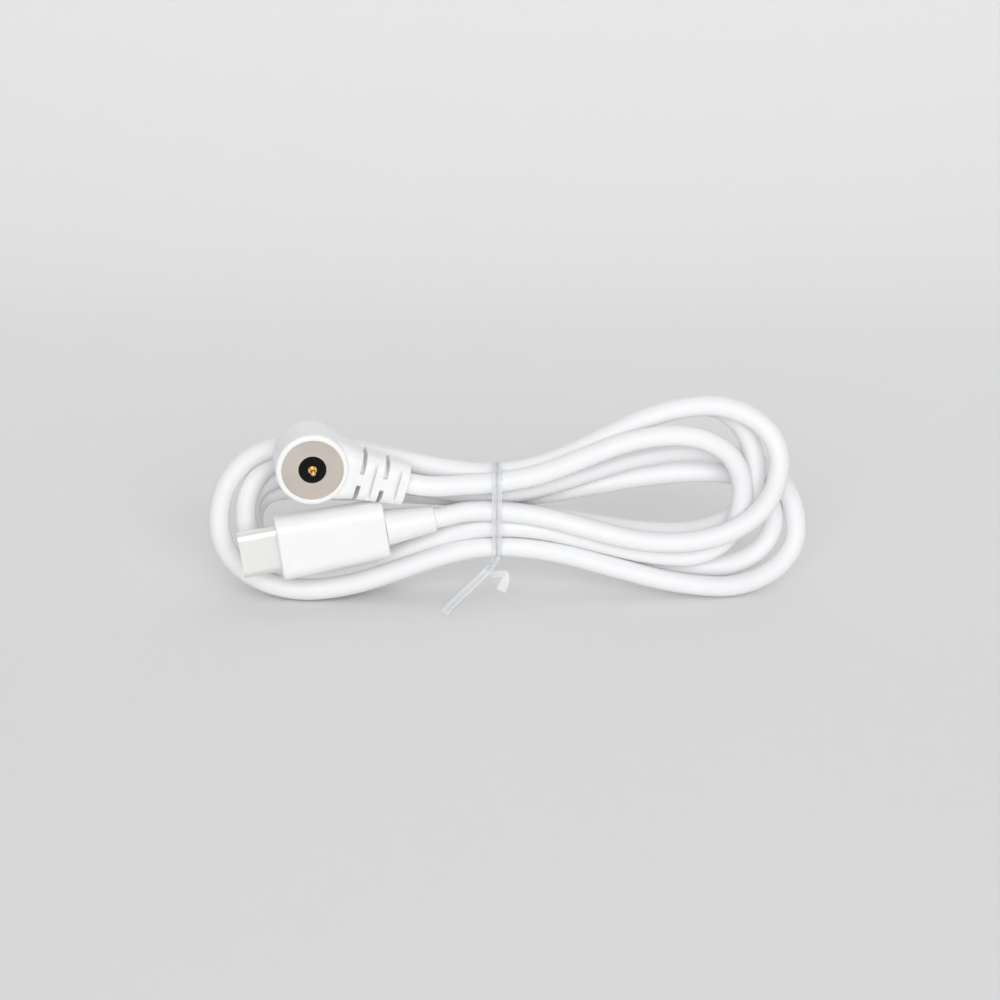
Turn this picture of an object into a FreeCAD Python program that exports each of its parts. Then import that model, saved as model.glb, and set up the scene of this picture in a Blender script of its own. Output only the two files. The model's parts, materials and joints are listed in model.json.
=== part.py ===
import FreeCAD, Part
import os
from math import atan2, cos, pi, radians, sin, tan

# A charging cable wound into a small hank and held by a clear twist tie.
# One end is a right-angle magnetic head with a sprung centre pin, the other a flat reversible plug.
# Millimetres. +X runs along the hank, +Y from its front to its back, +Z up from the table.
# The origin is on the table, under the tie.

V = FreeCAD.Vector
X_AXIS = V(1, 0, 0)
Y_AXIS = V(0, 1, 0)
Z_AXIS = V(0, 0, 1)

# ---- driving dimensions ----
CORD_D = 3.6
CORD_R = CORD_D / 2
CORE_R = 0.55                   # one insulated core of the two in the cord

# Head. Its own frame has x towards the cord, y towards its back and z up, from the barrel's middle.
HEAD_POS = V(-31.95, -7.0, 27.24)
HEAD_YAW = 8.0                  # the face looks a little towards the hank's middle
ARM_FALL = 16.0                 # the arm's slope down from the barrel
BARREL_R = 6.25
BARREL_HALF = 4.4
FRONT_ROUND = 0.5
BACK_ROUND = 1.2
LIP = 0.93                      # width of the white rim round the metal ring
RING_RECESS = 0.25
RING_R = 5.3
RING_BORE_R = 2.4
RING_T = 1.2
MAGNET_R = 4.8
MAGNET_T = 2.8
FLANGE_R = 3.6
FLANGE_T = 0.8
MOULD_T = 2.6
ARM_END = 16.8                  # from the barrel's axis to the end of the strain relief
ARM_SPLIT = 7.6                 # where the housing ends and the strain relief starts
ARM_CORNER = 2.3
ARM_SECTIONS = [(2.0, 8.0, 11.4), (7.6, 7.7, 8.8), (16.8, 6.5, 7.2)]  # along, depth, height
ARM_TAPER = (7.7 - 6.5) / (16.8 - 7.6)  # depth lost per mm along the strain relief
TOP_SLOTS = (8.5, 12.65)        # deep slots, cut from the top and the bottom
SIDE_GROOVES = (10.7, 15.1)     # shallow grooves, cut from the front and the back
SLOT_W = 0.75
GROOVE_W = 0.5
GROOVE_DEPTH = 0.9
BRIDGE = (-1.1, 0.95)           # band left between a top and a bottom slot
SLOT_CORE_R = 2.5               # the slots stop at this core round the cord
CABLE_POCKET = 1.2              # how far the cord goes into each strain relief
CORE_OFFSET = 0.62              # each core's distance from the middle of the cord

# Sprung centre pin, along the barrel's axis
SLEEVE_R = 0.73
SLEEVE_PROUD = 0.15
SLEEVE_MOUTH_R = 0.58
SLEEVE_LIP_R = 0.50
SLEEVE_LIP = 0.5
SLEEVE_BORE_R = 0.58
SLEEVE_FLOOR = 0.4
PLUNGER_R = 0.47
PLUNGER_NECK_R = 0.3            # thinner behind the tip
PLUNGER_TIP = 0.85              # length of the full-width tip
PLUNGER_PROUD = 2.25            # tip beyond the ring's face
COLLAR_R = 0.54
COLLAR_T = 0.6
SPRING_R = 0.42
SPRING_WIRE_R = 0.06
SPRING_TURNS = 8
PIN_TAIL_R = 0.3
PIN_TAIL = 1.0

# Plug. Its own frame has x from the nose to the cord, y through its thickness and z across its width.
PLUG_END = V(-10.85, -4.1, 15.85)  # where the cord leaves the strain relief
PLUG_YAW = 10.0
PLUG_RISE = 7.8
SHELL_W = 8.34
SHELL_T = 2.56
SHELL_WALL = 0.3
SHELL_OUT = 6.6
SHELL_LEN = 9.6
BODY_LEN = 18.9
BODY_FRONT = (6.0, 11.5)        # thickness, width
BODY_REAR = (5.6, 10.55)
BODY_CORNER = 2.6
BODY_EDGE = 0.5
BODY_WALL = 0.9
RELIEF_LEN = 8.7
RELIEF_R0 = 3.2
RELIEF_R1 = 2.3
RELIEF_LIP = 0.25
TONGUE_SLOT = (6.9, 0.9, 5.6)   # width, height and depth of the slot for the socket's tongue
CONTACTS = 12
CONTACT_PITCH = 0.5
CONTACT_W = 0.26
CONTACT_T = 0.14
LATCH_T = 0.2
BOARD = (7.0, 0.8, 7.4)         # length, thickness, width
FERRULE_R = 2.05

# Hank. Every pass of the cord lies in one bundle under the tie.
BUNDLE = [(-4.0, 17.2), (-2.2, 10.5), (1.6, 11.5), (4.2, 16.6), (3.7, 20.7), (0.0, 22.4), (-3.6, 22.3)]  # (y, z)
BUNDLE_ROUND = 1.95             # from the outer cords' middles to the bundle's outside
WAIST_HALF = 1.6
LOBE_RIGHT_Y = (-6.0, 8.8)
LOBE_LEFT_Y = (-0.5, 9.8)       # the left loops lie behind the head and the plug
FRONT_FOOT_Y = -4.8

# Twist tie
FILM_W = 1.75
FILM_T = 0.4
FILM_GAP = 0.05
WIRE_R = 0.12
KNOT = [V(-0.08, -3.45, 8.68), V(-1.5, -5.6, 6.75)]
KNOT_TWIST = 180.0
LEFT_TAIL = [V(-3.2, -6.5, 5.3), V(-6.1, -8.4, 3.2), V(-9.1, -10.7, 0.8)]
RIGHT_TAIL = [V(0.1, -6.0, 6.15), V(1.3, -6.35, 6.15), V(1.35, -6.8, 5.1), V(0.75, -7.3, 3.5)]


# ---- helpers ----
def cylinder_y(radius, y0, y1):
    return Part.makeCylinder(radius, y1 - y0, V(0, y0, 0), Y_AXIS)


def cylinder_x(radius, x0, x1, y=0.0, z=0.0):
    return Part.makeCylinder(radius, x1 - x0, V(x0, y, z), X_AXIS)


def box(x0, x1, y0, y1, z0, z1):
    return Part.makeBox(x1 - x0, y1 - y0, z1 - z0, V(x0, y0, z0))


def rounded_wire(x, depth, height, corner, y_mid=0.0, z_mid=0.0):
    """A rectangle with round corners in the plane at x, depth along Y and height along Z."""
    a = depth / 2
    b = height / 2
    r = min(corner, a - 0.01, b - 0.01)
    corners = [(a - r, b - r, 0), (r - a, b - r, 90), (r - a, r - b, 180), (a - r, r - b, 270)]
    arcs = []
    for u, w, start in corners:
        turns = [radians(start + t) for t in (0, 45, 90)]
        points = [V(x, y_mid + u + r * cos(t), z_mid + w + r * sin(t)) for t in turns]
        arcs.append(points)
    edges = []
    for i in range(4):
        edges.append(Part.Arc(*arcs[i]).toShape())
        edges.append(Part.LineSegment(arcs[i][2], arcs[(i + 1) % 4][0]).toShape())
    return Part.Wire(edges)


def rounded_bar(x0, x1, depth, height, corner, y_mid=0.0, z_mid=0.0):
    face = Part.Face(rounded_wire(x0, depth, height, corner, y_mid, z_mid))
    return face.extrude(V(x1 - x0, 0, 0))


def hull_bar(x0, x1, middles, radius):
    """The outline a tight band takes round equal circles, middles in order round it, from x0 to x1."""
    count = len(middles)
    turns = []
    for i in range(count):
        dy = middles[(i + 1) % count][0] - middles[i][0]
        dz = middles[(i + 1) % count][1] - middles[i][1]
        turns.append(atan2(dz, dy) - pi / 2)
    edges = []
    arcs = []
    for i in range(count):
        before = turns[i - 1]
        after = turns[i]
        while after < before:
            after += 2 * pi
        points = []
        for t in (before, (before + after) / 2, after):
            points.append(V(x0, middles[i][0] + radius * cos(t), middles[i][1] + radius * sin(t)))
        arcs.append(points)
    for i in range(count):
        edges.append(Part.Arc(*arcs[i]).toShape())
        edges.append(Part.LineSegment(arcs[i][2], arcs[(i + 1) % count][0]).toShape())
    return Part.Face(Part.Wire(edges)).extrude(V(x1 - x0, 0, 0))


def smooth_prism(outline, y0, y1):
    """Extrude the closed smooth curve through the (x, z) points from y0 to y1."""
    curve = Part.BSplineCurve()
    curve.interpolate([V(x, y0, z) for x, z in outline], PeriodicFlag=True)
    return Part.Face(Part.Wire([curve.toShape()])).extrude(V(0, y1 - y0, 0))


def straight_prism(outline, y0, y1):
    points = [V(x, y0, z) for x, z in outline]
    return Part.Face(Part.makePolygon(points + [points[0]])).extrude(V(0, y1 - y0, 0))


def route_wire(points, radii):
    """Straight runs joined by tangent arcs, as large as their two runs allow."""
    edges = []
    last = points[0]
    for i in range(1, len(points) - 1):
        a = points[i - 1] - points[i]
        b = points[i + 1] - points[i]
        run = min(a.Length, b.Length)
        half = (pi - a.getAngle(b)) / 2
        cut = 0.45 * run
        radius = cut / tan(half)
        radii.append(round(radius, 1))
        a.normalize()
        b.normalize()
        middle = a + b
        middle.normalize()
        start = points[i] + a * cut
        end = points[i] + b * cut
        top = points[i] + middle * (radius / cos(half) - radius)
        edges.append(Part.LineSegment(last, start).toShape())
        edges.append(Part.Arc(start, top, end).toShape())
        last = end
    edges.append(Part.LineSegment(last, points[-1]).toShape())
    return Part.Wire(edges)


def tube(points, radius, name):
    radii = []
    path = route_wire(points, radii)
    ring = Part.Wire([Part.Circle(points[0], points[1] - points[0], radius).toShape()])
    solid = path.makePipeShell([ring], True, False)
    ratio = solid.Volume / (pi * radius**2 * path.Length)
    print(name, "radii", radii, "length", round(path.Length, 2), "volume ratio", round(ratio, 4))
    return solid


def fuse(first, *others):
    return first.fuse(list(others))


parts = {}


def keep(name, shape, solids=1):
    shape = shape.removeSplitter()
    if len(shape.Solids) != solids or not shape.isValid():
        raise ValueError("%s: %d solids, valid %s" % (name, len(shape.Solids), shape.isValid()))
    parts[name] = shape.Solids[0] if solids == 1 else Part.makeCompound(shape.Solids)


def placed(shape, placement):
    moved = shape.copy()
    moved.Placement = placement.multiply(shape.Placement)
    return moved


# ---- magnetic head ----
TO_HEAD = FreeCAD.Placement(HEAD_POS, FreeCAD.Rotation(Z_AXIS, HEAD_YAW))
ARM_IN_HEAD = FreeCAD.Placement(V(0, 0, 0), FreeCAD.Rotation(Y_AXIS, ARM_FALL))
TO_ARM = TO_HEAD.multiply(ARM_IN_HEAD)
FACE_Y = -BARREL_HALF + RING_RECESS
RING_BACK = FACE_Y + RING_T
MAGNET_BACK = RING_BACK + MAGNET_T
FLANGE_BACK = MAGNET_BACK + FLANGE_T
MOULD_BACK = FLANGE_BACK + MOULD_T
POCKET_R = BARREL_R - LIP


def arm_solid(start, end):
    """The arm's tapering body between two distances along it, in the arm's frame."""
    wires = [rounded_wire(x, d, h, ARM_CORNER) for x, d, h in ARM_SECTIONS]
    whole = fuse(Part.makeLoft(wires[:2], True, True), Part.makeLoft(wires[1:], True, True))
    return whole.common(box(start, end, -10, 10, -10, 10))


def core_bores(start, end, radius):
    return [cylinder_x(radius, start, end, side * CORE_OFFSET) for side in (-1, 1)]


barrel = cylinder_y(BARREL_R, -BARREL_HALF, BARREL_HALF)
rims = {}
for edge in barrel.Edges:
    if len(edge.Vertexes) == 1:
        rims[round(edge.CenterOfMass.y, 2)] = edge
barrel = barrel.makeFillet(BACK_ROUND, [rims[BARREL_HALF]])
front_rim = [e for e in barrel.Edges if abs(e.BoundBox.YMax + BARREL_HALF) < 1e-6 and abs(e.BoundBox.YMin + BARREL_HALF) < 1e-6]
barrel = barrel.makeFillet(FRONT_ROUND, front_rim)
housing = fuse(barrel, placed(arm_solid(2.0, ARM_SPLIT), ARM_IN_HEAD))
housing = housing.cut(cylinder_y(POCKET_R, -BARREL_HALF - 1, FLANGE_BACK))
housing = housing.cut(cylinder_y(MAGNET_R, FLANGE_BACK - 1, MOULD_BACK))
for bore in core_bores(3.0, ARM_SPLIT + 1, CORE_R + 0.05):
    housing = housing.cut(placed(bore, ARM_IN_HEAD))
housing = housing.cut(box(4.0, 6.2, CORE_OFFSET, FLANGE_BACK + 1.2, -2.4, -0.3))
keep("head_housing", placed(housing, TO_HEAD))

relief = arm_solid(ARM_SPLIT, ARM_END)
slot_core = cylinder_x(SLOT_CORE_R, ARM_SPLIT - 1, ARM_END + 1)
for x in TOP_SLOTS:
    relief = relief.cut(box(x - SLOT_W / 2, x + SLOT_W / 2, -6, 6, BRIDGE[1], 8).cut(slot_core))
    relief = relief.cut(box(x - SLOT_W / 2, x + SLOT_W / 2, -6, 6, -8, BRIDGE[0]).cut(slot_core))
for x in SIDE_GROOVES:
    for side in (-1, 1):
        depth_here = ARM_SECTIONS[1][1] - (x - ARM_SPLIT) * ARM_TAPER
        inner = side * (depth_here / 2 - GROOVE_DEPTH)
        outer = side * 6
        relief = relief.cut(box(x - GROOVE_W / 2, x + GROOVE_W / 2, min(inner, outer), max(inner, outer), -8, 8))
for bore in core_bores(ARM_SPLIT - 1, ARM_END, CORE_R + 0.02):
    relief = relief.cut(bore)
relief = relief.cut(cylinder_x(CORD_R + 0.03, ARM_END - CABLE_POCKET, ARM_END + 1))
keep("head_strain_relief", placed(relief, TO_ARM))

ring = cylinder_y(RING_R, FACE_Y, RING_BACK).cut(cylinder_y(RING_BORE_R, FACE_Y - 1, RING_BACK + 1))
lug = box(MAGNET_R + 0.1, RING_R - 0.12, RING_BACK - 0.2, MAGNET_BACK - 0.05, -1.1, 0.7)
keep("contact_ring", placed(fuse(ring, lug), TO_HEAD))

magnet = cylinder_y(MAGNET_R, RING_BACK, MAGNET_BACK).cut(cylinder_y(RING_BORE_R, RING_BACK - 1, MAGNET_BACK + 1))
keep("magnet_ring", placed(magnet, TO_HEAD))

insulator = fuse(cylinder_y(RING_BORE_R, FACE_Y, MAGNET_BACK), cylinder_y(FLANGE_R, MAGNET_BACK, FLANGE_BACK))
insulator = insulator.cut(cylinder_y(SLEEVE_R, FACE_Y - 1, FLANGE_BACK + 1))
keep("insulator_bush", placed(insulator, TO_HEAD))

sleeve_front = FACE_Y - SLEEVE_PROUD
sleeve_back = FLANGE_BACK + 0.4
lip_back = sleeve_front + SLEEVE_LIP
sleeve = fuse(cylinder_y(SLEEVE_R, sleeve_front, sleeve_back), cylinder_y(PIN_TAIL_R, sleeve_back, sleeve_back + PIN_TAIL))
sleeve = sleeve.cut(cylinder_y(SLEEVE_MOUTH_R, sleeve_front - 1, sleeve_front + 0.15))
sleeve = sleeve.cut(cylinder_y(SLEEVE_LIP_R, sleeve_front - 1, lip_back))
sleeve = sleeve.cut(cylinder_y(SLEEVE_BORE_R, lip_back, sleeve_back - SLEEVE_FLOOR))
keep("pin_sleeve", placed(sleeve, TO_HEAD))

tip_y = FACE_Y - PLUNGER_PROUD
collar_y = lip_back + 0.02
shaft = fuse(cylinder_y(PLUNGER_R, tip_y + PLUNGER_R, tip_y + PLUNGER_TIP), cylinder_y(PLUNGER_NECK_R, tip_y + PLUNGER_TIP, collar_y + COLLAR_T))
tip = Part.makeSphere(PLUNGER_R, V(0, tip_y + PLUNGER_R, 0))
collar = cylinder_y(COLLAR_R, collar_y, collar_y + COLLAR_T)
keep("pin_plunger", placed(fuse(shaft, tip, collar), TO_HEAD))

spring_front = collar_y + COLLAR_T
spring_back = sleeve_back - SLEEVE_FLOOR
coil_len = spring_back - spring_front - 2 * SPRING_WIRE_R
helix = Part.makeHelix(coil_len / SPRING_TURNS, coil_len, SPRING_R)
wire_ring = Part.Wire([Part.Circle(V(SPRING_R, 0, 0), Y_AXIS, SPRING_WIRE_R).toShape()])
coil = Part.Wire(helix.Edges).makePipeShell([wire_ring], True, True)
coil.Placement = FreeCAD.Placement(V(0, spring_front + SPRING_WIRE_R, 0), FreeCAD.Rotation(X_AXIS, -90))
keep("pin_spring", placed(coil, TO_HEAD))

mould = cylinder_y(MAGNET_R, FLANGE_BACK, MOULD_BACK)
mould = mould.cut(cylinder_y(SLEEVE_R, FLANGE_BACK - 1, sleeve_back))
mould = mould.cut(box(-1.6, 3.2, sleeve_back - 0.2, MOULD_BACK - 0.5, -2.4, 1.2))
mould = mould.cut(box(2.4, 6, FLANGE_BACK - 1, MOULD_BACK - 0.5, -2.4, 1.2))
keep("head_inner_mould", placed(mould, TO_HEAD))

core_end = ARM_END - CABLE_POCKET
ground = cylinder_x(CORE_R, 5.7, core_end, -CORE_OFFSET)
keep("head_core_ground", placed(ground, TO_ARM))
bend = ARM_IN_HEAD.multVec(V(5.6, CORE_OFFSET, 0))
signal = tube([
    V(PIN_TAIL_R + 0.02, sleeve_back + 0.6, -0.1),
    V(2.7, sleeve_back + 0.5, -0.75),
    bend,
    ARM_IN_HEAD.multVec(V(core_end, CORE_OFFSET, 0)),
], CORE_R, "signal core")
keep("head_core_signal", placed(signal, TO_HEAD))


# ---- plug ----
PLUG_LEN = SHELL_OUT + BODY_LEN + RELIEF_LEN
BODY_START = SHELL_OUT
BODY_STOP = SHELL_OUT + BODY_LEN
TO_PLUG = FreeCAD.Placement(PLUG_END, FreeCAD.Rotation(Z_AXIS, PLUG_YAW))
TO_PLUG = TO_PLUG.multiply(FreeCAD.Placement(V(0, 0, 0), FreeCAD.Rotation(Y_AXIS, -PLUG_RISE)))
TO_PLUG = TO_PLUG.multiply(FreeCAD.Placement(V(-PLUG_LEN, 0, 0), FreeCAD.Rotation()))

shell = rounded_bar(0, SHELL_LEN, SHELL_T, SHELL_W, SHELL_T / 2)
bore_t = SHELL_T - 2 * SHELL_WALL
bore_w = SHELL_W - 2 * SHELL_WALL
shell = shell.cut(rounded_bar(-1, SHELL_LEN + 1, bore_t, bore_w, bore_t / 2))
keep("plug_shell", placed(shell, TO_PLUG))

slot_w, slot_t, slot_len = TONGUE_SLOT
carrier_x = 0.06
carrier = rounded_bar(carrier_x, SHELL_LEN, bore_t - 0.02, bore_w - 0.02, bore_t / 2)
carrier = carrier.cut(box(carrier_x - 1, carrier_x + slot_len, -slot_t / 2, slot_t / 2, -slot_w / 2, slot_w / 2))
contact_start = carrier_x + 0.8
contact_stop = SHELL_LEN + 1.6
rows = {"plug_contacts_front": -1, "plug_contacts_back": 1}
for name, side in rows.items():
    strips = []
    inner = side * slot_t / 2
    outer = side * (slot_t / 2 + CONTACT_T)
    for i in range(CONTACTS):
        z = (i - (CONTACTS - 1) / 2) * CONTACT_PITCH
        strips.append(box(contact_start, contact_stop, min(inner, outer), max(inner, outer), z - CONTACT_W / 2, z + CONTACT_W / 2))
    rows[name] = strips
    carrier = carrier.cut(strips)
    keep(name, placed(Part.makeCompound(strips), TO_PLUG), CONTACTS)
latches = []
for side in (-1, 1):
    inner = side * (slot_w / 2 + 0.02)
    outer = side * (slot_w / 2 + 0.02 + LATCH_T)
    latches.append(box(contact_start, SHELL_LEN - 0.5, -0.4, 0.4, min(inner, outer), max(inner, outer)))
carrier = carrier.cut(latches)
keep("plug_contact_carrier", placed(carrier, TO_PLUG))
keep("plug_latches", placed(Part.makeCompound(latches), TO_PLUG), 2)

board_len, board_t, board_w = BOARD
board_x = SHELL_LEN + 0.05
board = box(board_x, board_x + board_len, -slot_t / 2, slot_t / 2, -board_w / 2, board_w / 2)
keep("plug_board", placed(board, TO_PLUG))
resistor = box(board_x + 4.0, board_x + 5.0, -slot_t / 2 - 0.45, -slot_t / 2, 1.6, 2.1)
keep("plug_resistor", placed(resistor, TO_PLUG))

ferrule_start = BODY_STOP - 4.6
ferrule_stop = BODY_STOP - 0.6
ferrule = cylinder_x(FERRULE_R, ferrule_start, ferrule_stop).cut(cylinder_x(CORD_R + 0.02, ferrule_start - 1, ferrule_stop + 1))
keep("plug_ferrule", placed(ferrule, TO_PLUG))

jacket = cylinder_x(CORD_R, ferrule_start - 0.4, PLUG_LEN - CABLE_POCKET)
for bore in core_bores(ferrule_start - 2, PLUG_LEN, CORE_R):
    jacket = jacket.cut(bore)
keep("plug_cable_end", placed(jacket, TO_PLUG))
for name, side in (("plug_core_signal", -1), ("plug_core_ground", 1)):
    core = cylinder_x(CORE_R, board_x + board_len + 0.05, PLUG_LEN - CABLE_POCKET, side * CORE_OFFSET)
    keep(name, placed(core, TO_PLUG))

body = Part.makeLoft([rounded_wire(BODY_START, *BODY_FRONT, BODY_CORNER), rounded_wire(BODY_STOP, *BODY_REAR, BODY_CORNER)], True, True)
end_edges = [e for e in body.Edges if e.BoundBox.XLength < 1e-4]
body = body.makeFillet(BODY_EDGE, end_edges)
body = body.cut(rounded_bar(BODY_START - 1, SHELL_LEN, SHELL_T, SHELL_W, SHELL_T / 2))
inner_t = BODY_REAR[0] - 2 * BODY_WALL
inner_w = BODY_REAR[1] - 2 * BODY_WALL
inner = rounded_bar(SHELL_LEN, ferrule_start - 0.4, inner_t, inner_w, inner_t / 2 - 0.1)
body = body.cut(inner)
body = body.cut(cylinder_x(FERRULE_R, ferrule_start - 0.4, ferrule_stop))
body = body.cut(cylinder_x(CORD_R + 0.02, ferrule_stop - 0.1, BODY_STOP + 1))
keep("plug_overmould", placed(body, TO_PLUG))

inner = inner.cut(box(board_x - 1, board_x + board_len + 0.05, -1.3, 1.3, -board_w / 2 - 0.02, board_w / 2 + 0.02))
for bore in core_bores(board_x, ferrule_start + 1, CORE_R + 0.02):
    inner = inner.cut(bore)
keep("plug_inner_mould", placed(inner, TO_PLUG))

relief = Part.makeCone(RELIEF_R0, RELIEF_R1, RELIEF_LEN, V(BODY_STOP, 0, 0), X_AXIS)
relief = relief.makeFillet(RELIEF_LIP, [e for e in relief.Edges if e.BoundBox.XMin > PLUG_LEN - 0.01])
relief = relief.cut(cylinder_x(CORD_R + 0.02, BODY_STOP - 1, PLUG_LEN - CABLE_POCKET))
relief = relief.cut(cylinder_x(CORD_R + 0.03, PLUG_LEN - CABLE_POCKET - 0.1, PLUG_LEN + 1))
keep("plug_strain_relief", placed(relief, TO_PLUG))


# ---- cord ----
def in_frame(placement, x):
    return placement.multVec(V(x, 0, 0))


HANK_FACE_X = -WAIST_HALF
head_lead = [
    in_frame(TO_ARM, ARM_END - CABLE_POCKET),
    in_frame(TO_ARM, ARM_END + 2.1),
    V(-9.8, -4.10, 21.70),
    V(-5.4, -3.64, 22.00),
    V(HANK_FACE_X, -3.64, 22.00),
]
plug_lead = [
    in_frame(TO_PLUG, PLUG_LEN - CABLE_POCKET),
    in_frame(TO_PLUG, PLUG_LEN + 1.7),
    V(-5.3, -3.95, 17.2),
    V(HANK_FACE_X, -3.95, 17.2),
]
keep("head_lead", tube(head_lead, CORD_R, "head lead"))
keep("plug_lead", tube(plug_lead, CORD_R, "plug lead"))

waist = hull_bar(-WAIST_HALF, WAIST_HALF, BUNDLE, BUNDLE_ROUND)

# Outlines as (x, z), clockwise from the tie
right = [
    (1.3, 10.0), (1.3, 23.6), (10, 26.8), (20, 31.6), (29, 35.6), (36, 36.9), (43, 34.8), (48.5, 30.0),
    (51.2, 24.0), (53.8, 17.0), (54.9, 10.5), (52.6, 5.0), (47, 1.6), (41, 0.2), (30, 0.2), (21, 2.6), (10, 6.4),
]
right_hole = [(15, 16.2), (24, 17.6), (34, 18.0), (43, 16.6), (46.2, 14.2), (42, 12.4), (33, 12.3), (24, 13.6)]
left = [
    (-1.3, 10.0), (-10, 6.6), (-20, 2.2), (-28, 0.2), (-38, 0.2), (-45, 3.6), (-50.2, 10.5), (-50.6, 16.5),
    (-47.6, 23.2), (-42, 27.2), (-36, 28.5), (-28, 27.2), (-18, 25.0), (-9, 24.2), (-1.3, 23.6),
]
left_hole = [(-16, 13.6), (-24, 16.2), (-31, 16.6), (-34.2, 13.0), (-31, 9.2), (-24, 9.6)]
foot = [(-1.3, 9.2), (-10, 5.6), (-20, 1.6), (-27, 0.0), (-37, 0.0), (-37, 3.4), (-26, 4.2), (-15, 7.6), (-8, 11.0), (-1.3, 14.4)]
hank = waist.fuse([
    smooth_prism(right, *LOBE_RIGHT_Y).cut(smooth_prism(right_hole, LOBE_RIGHT_Y[0] - 1, LOBE_RIGHT_Y[1] + 1)),
    smooth_prism(left, *LOBE_LEFT_Y).cut(smooth_prism(left_hole, LOBE_LEFT_Y[0] - 1, LOBE_LEFT_Y[1] + 1)),
    straight_prism(foot, FRONT_FOOT_Y, LOBE_LEFT_Y[0] + 0.5),
    box(-37, -29, LOBE_LEFT_Y[0], LOBE_LEFT_Y[1], 0, 1.5),
    box(31, 41, LOBE_RIGHT_Y[0], LOBE_RIGHT_Y[1], 0, 1.5),
])
hank = hank.cut(box(-60, 60, -20, 20, -5, 0))
round_waist = box(-WAIST_HALF, WAIST_HALF, -20, 20, 0, 40).cut(waist)
hank = hank.cut(round_waist)
keep("cord_hank", hank)


# ---- twist tie ----
def band(half_width, inside, outside):
    whole = hull_bar(-half_width, half_width, BUNDLE, BUNDLE_ROUND + outside)
    return whole.cut(hull_bar(-half_width - 1, half_width + 1, BUNDLE, BUNDLE_ROUND + inside))


def ribbon(points, ups, widths, thickness):
    """A flat strip through the points; each of ups gives the direction of its width there."""
    pieces = []
    wires = []
    for i, point in enumerate(points):
        ahead = points[min(i + 1, len(points) - 1)] - points[max(i - 1, 0)]
        ahead.normalize()
        across = ups[i] - ahead * ups[i].dot(ahead)
        across.normalize()
        normal = ahead.cross(across)
        a = across * (widths[i] / 2)
        b = normal * (thickness / 2)
        corners = [point + a + b, point - a + b, point - a - b, point + a - b]
        wires.append(Part.makePolygon(corners + [corners[0]]))
    return Part.makeLoft(wires, True, False)


film = band(FILM_W / 2, FILM_GAP, FILM_GAP + FILM_T)
knot_axis = KNOT[1] - KNOT[0]
side = knot_axis.cross(X_AXIS)
side.normalize()
other = knot_axis.cross(side)
other.normalize()
knot_turns = [radians(KNOT_TWIST * i / 6) for i in range(7)]
knot_points = [KNOT[0] + knot_axis * (i / 6) for i in range(7)]
knot_ups = [side * sin(t) + other * cos(t) for t in knot_turns]
knot = ribbon(knot_points, knot_ups, [1.6] * 7, 0.8)
across_left = V(0.55, -0.35, -0.7)
left_tail = ribbon([KNOT[1] - knot_axis * 0.12] + LEFT_TAIL, [across_left] * 4, [1.2, 1.3, 1.35, 1.4], FILM_T)
right_ups = [V(0, 0.1, 1), V(0, 0.1, 1), V(0.7, 0.2, 0.7), V(1, 0.1, 0.1), V(1, 0.1, -0.2)]
right_tail = ribbon([KNOT[1] - knot_axis * 0.15] + RIGHT_TAIL, right_ups, [1.2, 1.4, 1.5, 1.5, 1.5], FILM_T)
film = film.fuse([knot, left_tail, right_tail])
ring_wire = band(WIRE_R, FILM_GAP + FILM_T / 2 - WIRE_R, FILM_GAP + FILM_T / 2 + WIRE_R)
left_wire = tube(KNOT + LEFT_TAIL[:-1] + [LEFT_TAIL[-1] - V(-0.3, -0.2, -0.25)], WIRE_R, "tie wire, left")
wire = ring_wire.fuse([left_wire])
film = film.cut([wire, hull_bar(-FILM_W, FILM_W, BUNDLE, BUNDLE_ROUND + FILM_GAP)])
keep("tie_film", film)
keep("tie_wire", wire)

os.makedirs("parts", exist_ok=True)
total = FreeCAD.BoundBox()
for name, shape in parts.items():
    shape.exportStep("parts/%s.step" % name)
    total.add(shape.BoundBox)
    b = shape.BoundBox
    print("%-22s %9.1f mm3  x %7.2f %7.2f  y %7.2f %7.2f  z %7.2f %7.2f" % (name, shape.Volume, b.XMin, b.XMax, b.YMin, b.YMax, b.ZMin, b.ZMax))
print("nodes", len(parts), "box", total)
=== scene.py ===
import json
import math

import bpy
import numpy as np
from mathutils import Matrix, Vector


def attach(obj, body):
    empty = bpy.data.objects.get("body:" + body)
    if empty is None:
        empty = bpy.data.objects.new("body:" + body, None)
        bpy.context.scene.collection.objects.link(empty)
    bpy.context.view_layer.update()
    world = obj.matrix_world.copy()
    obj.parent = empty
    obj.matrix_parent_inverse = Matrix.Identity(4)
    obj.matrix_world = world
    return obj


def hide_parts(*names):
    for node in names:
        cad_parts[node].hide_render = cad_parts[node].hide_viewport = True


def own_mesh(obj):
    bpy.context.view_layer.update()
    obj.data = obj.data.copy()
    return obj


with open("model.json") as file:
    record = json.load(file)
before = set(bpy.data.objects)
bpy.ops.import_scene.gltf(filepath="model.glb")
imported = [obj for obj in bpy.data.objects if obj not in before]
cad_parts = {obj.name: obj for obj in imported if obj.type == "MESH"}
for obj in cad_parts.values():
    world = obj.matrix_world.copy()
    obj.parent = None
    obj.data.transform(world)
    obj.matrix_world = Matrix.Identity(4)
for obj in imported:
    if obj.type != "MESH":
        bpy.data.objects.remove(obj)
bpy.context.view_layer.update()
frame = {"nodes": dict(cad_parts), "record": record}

MM = 0.001
CORD_R = 1.8                    # millimetres
BODY = "cable"


# ---- materials ----
def new_material(name):
    m = bpy.data.materials.new(name)
    m.use_nodes = True
    nodes = m.node_tree.nodes
    nodes.clear()
    out = nodes.new("ShaderNodeOutputMaterial")
    shader = nodes.new("ShaderNodeBsdfPrincipled")
    m.node_tree.links.new(shader.outputs[0], out.inputs[0])
    return m, shader


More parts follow.
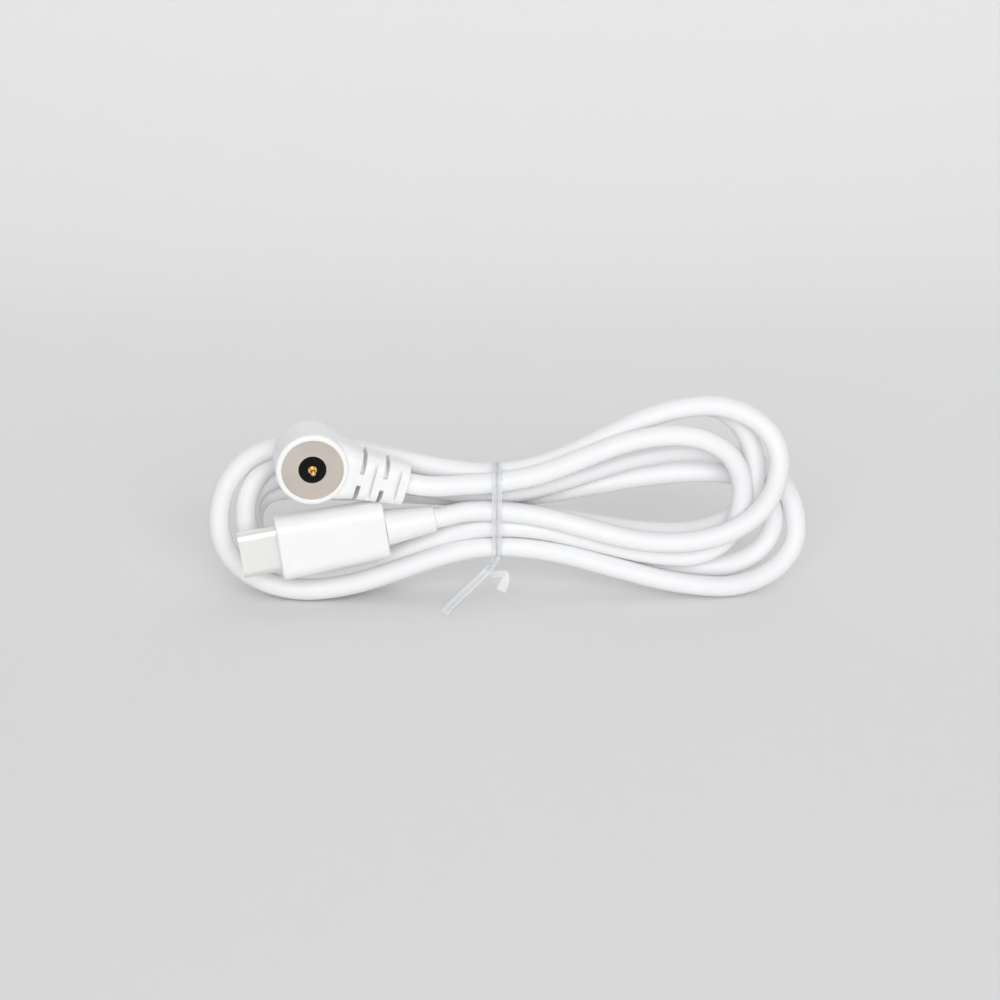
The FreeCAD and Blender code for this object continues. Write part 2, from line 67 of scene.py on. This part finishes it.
def add_noise(m, scale, detail=3.0, rough=0.5):
    nodes = m.node_tree.nodes
    coord = nodes.new("ShaderNodeTexCoord")
    noise = nodes.new("ShaderNodeTexNoise")
    noise.inputs["Scale"].default_value = scale
    noise.inputs["Detail"].default_value = detail
    noise.inputs["Roughness"].default_value = rough
    m.node_tree.links.new(coord.outputs["Object"], noise.inputs["Vector"])
    return noise


def add_bump(m, shader, noise, strength, distance):
    bump = m.node_tree.nodes.new("ShaderNodeBump")
    bump.inputs["Strength"].default_value = strength
    bump.inputs["Distance"].default_value = distance
    m.node_tree.links.new(noise.outputs["Fac"], bump.inputs["Height"])
    m.node_tree.links.new(bump.outputs[0], shader.inputs["Normal"])


def tint(m, shader, noise, low, high, a=0.35, b=0.65):
    ramp = m.node_tree.nodes.new("ShaderNodeValToRGB")
    ramp.color_ramp.elements[0].position = a
    ramp.color_ramp.elements[1].position = b
    ramp.color_ramp.elements[0].color = (*low, 1)
    ramp.color_ramp.elements[1].color = (*high, 1)
    m.node_tree.links.new(noise.outputs["Fac"], ramp.inputs["Fac"])
    m.node_tree.links.new(ramp.outputs[0], shader.inputs["Base Color"])


def vary_roughness(m, shader, noise, low, high):
    span = m.node_tree.nodes.new("ShaderNodeMapRange")
    span.inputs["To Min"].default_value = low
    span.inputs["To Max"].default_value = high
    m.node_tree.links.new(noise.outputs["Fac"], span.inputs["Value"])
    m.node_tree.links.new(span.outputs[0], shader.inputs["Roughness"])


def moulded(name, low, high, rough, grain, bump, subsurface=0.0, gloss=0.5):
    """Moulded plastic or rubber: slight colour drift, uneven gloss and a fine surface grain."""
    m, s = new_material(name)
    tint(m, s, add_noise(m, 60.0, 2.0), low, high)
    vary_roughness(m, s, add_noise(m, 400.0, 3.0), rough[0], rough[1])
    add_bump(m, s, add_noise(m, grain, 4.0, 0.6), bump, 0.00004)
    s.inputs["Subsurface Weight"].default_value = subsurface
    s.inputs["Subsurface Radius"].default_value = (0.0012, 0.0012, 0.0011)
    s.inputs["Subsurface Scale"].default_value = 1.0
    s.inputs["Specular IOR Level"].default_value = gloss
    return m


def metal(name, low, high, rough, grain=3000.0, bump=0.05):
    """Plated or drawn metal: fine scratches and uneven gloss."""
    m, s = new_material(name)
    s.inputs["Metallic"].default_value = 1.0
    tint(m, s, add_noise(m, 150.0, 2.0), low, high)
    vary_roughness(m, s, add_noise(m, 900.0, 3.0), rough[0], rough[1])
    add_bump(m, s, add_noise(m, grain, 3.0, 0.6), bump, 0.00002)
    return m


JACKET = moulded("jacket", (0.885, 0.888, 0.895), (0.905, 0.908, 0.915), (0.46, 0.58), 5200.0, 0.10, 0.10)
WHITES = (0.90, 0.90, 0.898), (0.92, 0.92, 0.918)
SHELL_WHITE = moulded("white_mould", *WHITES, (0.28, 0.38), 4200.0, 0.08, 0.10)
SOFT_WHITE = moulded("white_soft", *WHITES, (0.34, 0.46), 4200.0, 0.12, 0.10)
BLACK = moulded(
    "black_insulator", (0.003, 0.003, 0.0035), (0.005, 0.005, 0.0055), (0.35, 0.5), 3000.0, 0.1, gloss=0.12
)
INNER = moulded("inner_mould", (0.70, 0.70, 0.68), (0.76, 0.76, 0.74), (0.5, 0.65), 2500.0, 0.2)
RED = moulded("core_red", (0.42, 0.02, 0.015), (0.5, 0.03, 0.02), (0.3, 0.4), 3000.0, 0.05)
DARK = moulded("core_black", (0.01, 0.01, 0.01), (0.02, 0.02, 0.02), (0.3, 0.4), 3000.0, 0.05)
GREEN = moulded("board_green", (0.012, 0.09, 0.035), (0.02, 0.13, 0.05), (0.3, 0.45), 1800.0, 0.15)
NICKEL = metal("nickel", (0.65, 0.58, 0.515), (0.71, 0.635, 0.57), (0.26, 0.36))
PLATE = metal("nickel_magnet", (0.60, 0.60, 0.61), (0.66, 0.66, 0.67), (0.12, 0.2))
GOLD = metal("gold", (0.86, 0.55, 0.20), (0.92, 0.62, 0.26), (0.12, 0.22))
STEEL = metal("steel_shell", (0.95, 0.94, 0.915), (0.98, 0.97, 0.95), (0.36, 0.42))
SPRING = metal("spring_steel", (0.50, 0.52, 0.56), (0.60, 0.62, 0.66), (0.4, 0.5))


def clear_film():
    """Thin clear film: mostly see-through, with a faint drift in tint and a soft wrinkle."""
    m, s = new_material("clear_film")
    tint(m, s, add_noise(m, 250.0, 2.0), (0.86, 0.885, 0.92), (0.93, 0.94, 0.96))
    vary_roughness(m, s, add_noise(m, 500.0, 2.0), 0.1, 0.2)
    s.inputs["Alpha"].default_value = 0.3
    add_bump(m, s, add_noise(m, 300.0, 1.0), 0.1, 0.00005)
    return m


FILM = clear_film()

FINISH = {
    "white_mould": SHELL_WHITE, "white_soft": SOFT_WHITE, "cable_jacket": JACKET, "nickel": NICKEL,
    "nickel_magnet": PLATE, "black_insulator": BLACK, "gold": GOLD, "spring_steel": SPRING,
    "steel_shell": STEEL, "inner_mould": INNER, "core_red": RED, "core_black": DARK,
    "board_green": GREEN, "clear_film": FILM,
}
for part in frame["record"]["subparts"]:
    node = frame["nodes"][part["node"]]
    node.data.materials.clear()
    node.data.materials.append(FINISH[part["material_slot"]])


# ---- the cord ----
# Millimetres: x along the hank, y to its back, z up. Each pass through the tie has a place (y, z) there.
SLOT = {
    "A_top": (0.0, 22.4), "A_bot": (-4.0, 17.2),
    "B_top": (-3.6, 22.2), "B_bot": (-2.9, 13.9),
    "C_top": (3.7, 20.7), "C_bot": (0.7, 15.1),
    "D_top": (-0.6, 18.7), "D_bot": (-2.2, 10.5),
    "E_top": (4.2, 16.6), "E_bot": (1.6, 11.5),
}
# Loops: upper crown, end and lower belly
RIGHT = {
    "A": ((36.0, 0.5, 35.3), (49.1, -3.4, 25.4), (30.5, -4.2, 11.1)),
    "B": ((29.7, -3.0, 30.85), (43.0, 0.2, 19.4), (33.0, -0.6, 7.2)),
    "C": ((35.0, 3.8, 34.2), (45.4, 2.8, 21.5), (31.0, 3.9, 10.0)),
    "D": ((34.0, 5.0, 25.4), (53.4, 5.8, 10.6), (40.0, -1.7, 1.85)),
    "E": ((37.0, 6.4, 20.9), (49.3, 6.6, 12.3), (38.5, 2.2, 4.1)),
}
LEFT = {
    "G": ((-31.0, 6.0, 25.6), (-44.3, 0.5, 15.0), (-31.0, 0.6, 2.6)),
    "H": ((-37.0, 7.2, 17.2), (-43.6, 8.0, 11.0), (-36.0, 6.4, 4.3)),
    "I": ((-35.3, 3.4, 21.7), (-43.9, 4.3, 13.6), (-31.0, 4.6, 2.2)),
    "F": ((-36.0, 3.0, 26.8), (-49.0, 0.0, 13.6), (-33.2, -3.0, 1.85)),
}
ORDER = ["B", "G", "C", "H", "E", "I", "D", "F", "A"]
HEAD_LEAD = [(-17.10, -4.91, 22.94), (-13.96, -4.47, 22.03), (-9.8, -4.10, 21.70), (-5.4, -3.64, 21.90)]
PLUG_LEAD = [(-5.3, -3.95, 17.2), (-9.19, -3.81, 16.08), (-12.02, -4.31, 15.69)]
FULLNESS = 0.93                 # below 1, a loop's end is a little squarer than an ellipse


def loop(slot_in, slot_out, crown, end, belly, top_first):
    """The control points of one half turn, out from the tie, round the loop's end and back."""
    a, b = (crown, belly) if top_first else (belly, crown)

    def side(place, to, u):
        rise = (1 - math.cos(math.pi * u)) / 2
        ease = math.sin(math.pi / 2 * u)
        return (to[0] * u, place[0] + (to[1] - place[0]) * ease, place[1] + (to[2] - place[1]) * rise)

    def corner(peak, t):
        c, s = math.cos(t) ** FULLNESS, math.sin(t) ** FULLNESS
        return peak[0] + (end[0] - peak[0]) * s, end[2] + (peak[2] - end[2]) * c

    points = [side(slot_in, a, i / 4) for i in (1, 2, 3)]
    for i in range(4):
        x, z = corner(a, math.pi / 8 * i)
        points.append((x, a[1] + (end[1] - a[1]) * i / 4, z))
    for i in range(5):
        x, z = corner(b, math.pi / 8 * (4 - i) if i else math.pi / 2)
        points.append((x, end[1] + (b[1] - end[1]) * i / 4, z))
    points += [side(slot_out, b, i / 4) for i in (3, 2, 1)]
    return points


def hank():
    points = list(HEAD_LEAD)
    for i, key in enumerate(ORDER):
        if key in RIGHT:
            place_in, place_out = SLOT[key + "_top"], SLOT[key + "_bot"]
            points.append((0.0, *place_in))
            points += loop(place_in, place_out, *RIGHT[key], True)
            points.append((0.0, *place_out))
        else:
            before, after = SLOT[ORDER[i - 1] + "_bot"], SLOT[ORDER[i + 1] + "_top"]
            points += loop(before, after, *LEFT[key], False)
    return np.array(points + PLUG_LEAD)


def spline_weights(count, per=3):
    """How much each control point counts at places along the quadratic spline."""
    rows = []
    for i in range(count - 2):
        for j in range(per):
            t = j / per
            w = np.zeros(count)
            c0, c1, c2 = (1 - t) ** 2, 2 * t * (1 - t), t * t
            first, last = i == 0, i == count - 3
            w[i] += c0 if first else c0 / 2
            w[i + 1] += c1 + (0 if first else c0 / 2) + (0 if last else c2 / 2)
            w[i + 2] += c2 if last else c2 / 2
            rows.append(w)
    return np.array(rows)


def settle(points, gap=2 * CORD_R, rounds=60, floor=1.82, same_run=12.0):
    """Turns that lie closer than a diameter push each other apart, mostly in depth. Places less than same_run
    apart along the cord don't push each other, and the three points at each end stay."""
    p = points.copy()
    weights = spline_weights(len(p))
    give = np.array([0.0, 1.0, 0.35])
    for _ in range(rounds):
        s = weights @ p
        arc = np.r_[0, np.cumsum(np.linalg.norm(np.diff(s, axis=0), axis=1))]
        apart = s[:, None] - s[None]
        dist = np.linalg.norm(apart, axis=2)
        other = np.abs(arc[:, None] - arc[None]) > same_run
        short = np.where(other, np.clip(gap - dist, 0, None), 0)
        push = apart / np.maximum(dist, 0.2)[..., None] * short[..., None]
        push = push[np.arange(len(s)), short.argmax(1)] * 0.5 * give
        move = weights.T @ push / np.maximum(weights.sum(0), 1e-6)[:, None]
        move[1:-1] = 0.25 * move[:-2] + 0.5 * move[1:-1] + 0.25 * move[2:]
        move[:3] = 0
        move[-3:] = 0
        p += move
        p[:, 2] = np.maximum(p[:, 2], floor)
    return p


route = settle(hank()) * MM
curve = bpy.data.curves.new("cord", "CURVE")
curve.dimensions = "3D"
spline = curve.splines.new("NURBS")
spline.points.add(len(route) - 1)
for point, place in zip(spline.points, route):
    point.co = (*place, 1.0)
spline.order_u = 3
spline.use_endpoint_u = True
spline.resolution_u = 6
curve.bevel_depth = CORD_R * MM
curve.bevel_resolution = 7
curve.use_fill_caps = True
curve.materials.append(JACKET)
cord = bpy.data.objects.new("cord", curve)
bpy.context.collection.objects.link(cord)
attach(cord, BODY)
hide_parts("cord_hank", "head_lead", "plug_lead")


# ---- the pin's spring, given a mesh of its own ----
spring = bpy.data.objects.new("spring", frame["nodes"]["pin_spring"].data.copy())
bpy.context.collection.objects.link(spring)
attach(spring, BODY)
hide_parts("pin_spring")
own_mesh(spring)


# ---- stage, light and camera ----
FLOOR_FRONT, FLOOR_BACK, SWEEP_R = -0.9, 0.16, 0.12
BACKDROP_HEIGHT, BACKDROP_HALF = 1.2, 1.2


def studio_sweep(steps=12):
    """A floor that curves up into a backdrop."""
    profile = [(FLOOR_FRONT, 0.0), (FLOOR_BACK, 0.0)]
    for i in range(1, steps + 1):
        a = math.pi / 2 * i / steps
        profile.append((FLOOR_BACK + SWEEP_R * math.sin(a), SWEEP_R * (1 - math.cos(a))))
    profile.append((FLOOR_BACK + SWEEP_R, BACKDROP_HEIGHT))
    verts = [(x, y, z) for y, z in profile for x in (-BACKDROP_HALF, BACKDROP_HALF)]
    faces = [(2 * i, 2 * i + 1, 2 * i + 3, 2 * i + 2) for i in range(len(profile) - 1)]
    mesh = bpy.data.meshes.new("backdrop")
    mesh.from_pydata(verts, [], faces)
    for face in mesh.polygons:
        face.use_smooth = True
    obj = bpy.data.objects.new("backdrop", mesh)
    bpy.context.collection.objects.link(obj)
    return obj


def paper_with_painted_shading(near, far, near_grey, far_grey):
    """Matt paper with painted shading: its colour grows lighter from near to far, in metres along y, standing
    in for how the light falls.
    """
    m, s = new_material("paper")
    nodes, links = m.node_tree.nodes, m.node_tree.links
    coord = nodes.new("ShaderNodeTexCoord")
    axes = nodes.new("ShaderNodeSeparateXYZ")
    span = nodes.new("ShaderNodeMapRange")
    span.inputs["From Min"].default_value = near
    span.inputs["From Max"].default_value = far
    ramp = nodes.new("ShaderNodeValToRGB")
    for stop, grey in zip(ramp.color_ramp.elements, (near_grey, far_grey)):
        stop.color = (grey, grey, grey, 1)
    links.new(coord.outputs["Object"], axes.inputs[0])
    links.new(axes.outputs["Y"], span.inputs["Value"])
    links.new(span.outputs[0], ramp.inputs["Fac"])
    links.new(ramp.outputs[0], s.inputs["Base Color"])
    s.inputs["Roughness"].default_value = 0.65
    return m


backdrop = studio_sweep()
# the paper's colour holds a painted light gradient, darker near the front and lighter towards the backdrop
backdrop.data.materials.append(paper_with_painted_shading(-0.2, 0.16, 0.74, 0.91))


def area_light(name, place, aim, size, power, colour=(1, 1, 1)):
    data = bpy.data.lights.new(name, "AREA")
    data.shape = "RECTANGLE"
    data.size, data.size_y = size
    data.energy = power
    data.color = colour
    obj = bpy.data.objects.new(name, data)
    obj.location = place
    obj.rotation_euler = (Vector(aim) - Vector(place)).to_track_quat("-Z", "Y").to_euler()
    bpy.context.collection.objects.link(obj)


area_light("top", (0.0, 0.0, 0.6), (0, 0, 0.01), (0.7, 0.6), 0.45)
area_light("front", (0.06, -0.75, 0.34), (0, 0, 0.02), (0.7, 0.45), 4.0)
world = bpy.data.worlds.new("room")
world.use_nodes = True
world.node_tree.nodes["Background"].inputs[0].default_value = (0.985, 0.99, 1.0, 1)
world.node_tree.nodes["Background"].inputs[1].default_value = 0.415
bpy.context.scene.world = world
bpy.context.scene.view_settings.view_transform = "Standard"

ELEVATION, DISTANCE = math.radians(20), 0.5
FOCAL_PIXELS, IMAGE_SIZE, SENSOR = 2860, 1000, 36
TARGET = Vector((0.00052, 0.0, 0.01775))
cam_data = bpy.data.cameras.new("camera")
cam_data.sensor_width = SENSOR
cam_data.lens = FOCAL_PIXELS * SENSOR / IMAGE_SIZE
cam_data.clip_start = 0.01
cam = bpy.data.objects.new("camera", cam_data)
back = Vector((0, -math.cos(ELEVATION), math.sin(ELEVATION)))
cam.location = TARGET + back * DISTANCE
cam.rotation_euler = (-back).to_track_quat("-Z", "Y").to_euler()
bpy.context.collection.objects.link(cam)
bpy.context.scene.camera = cam
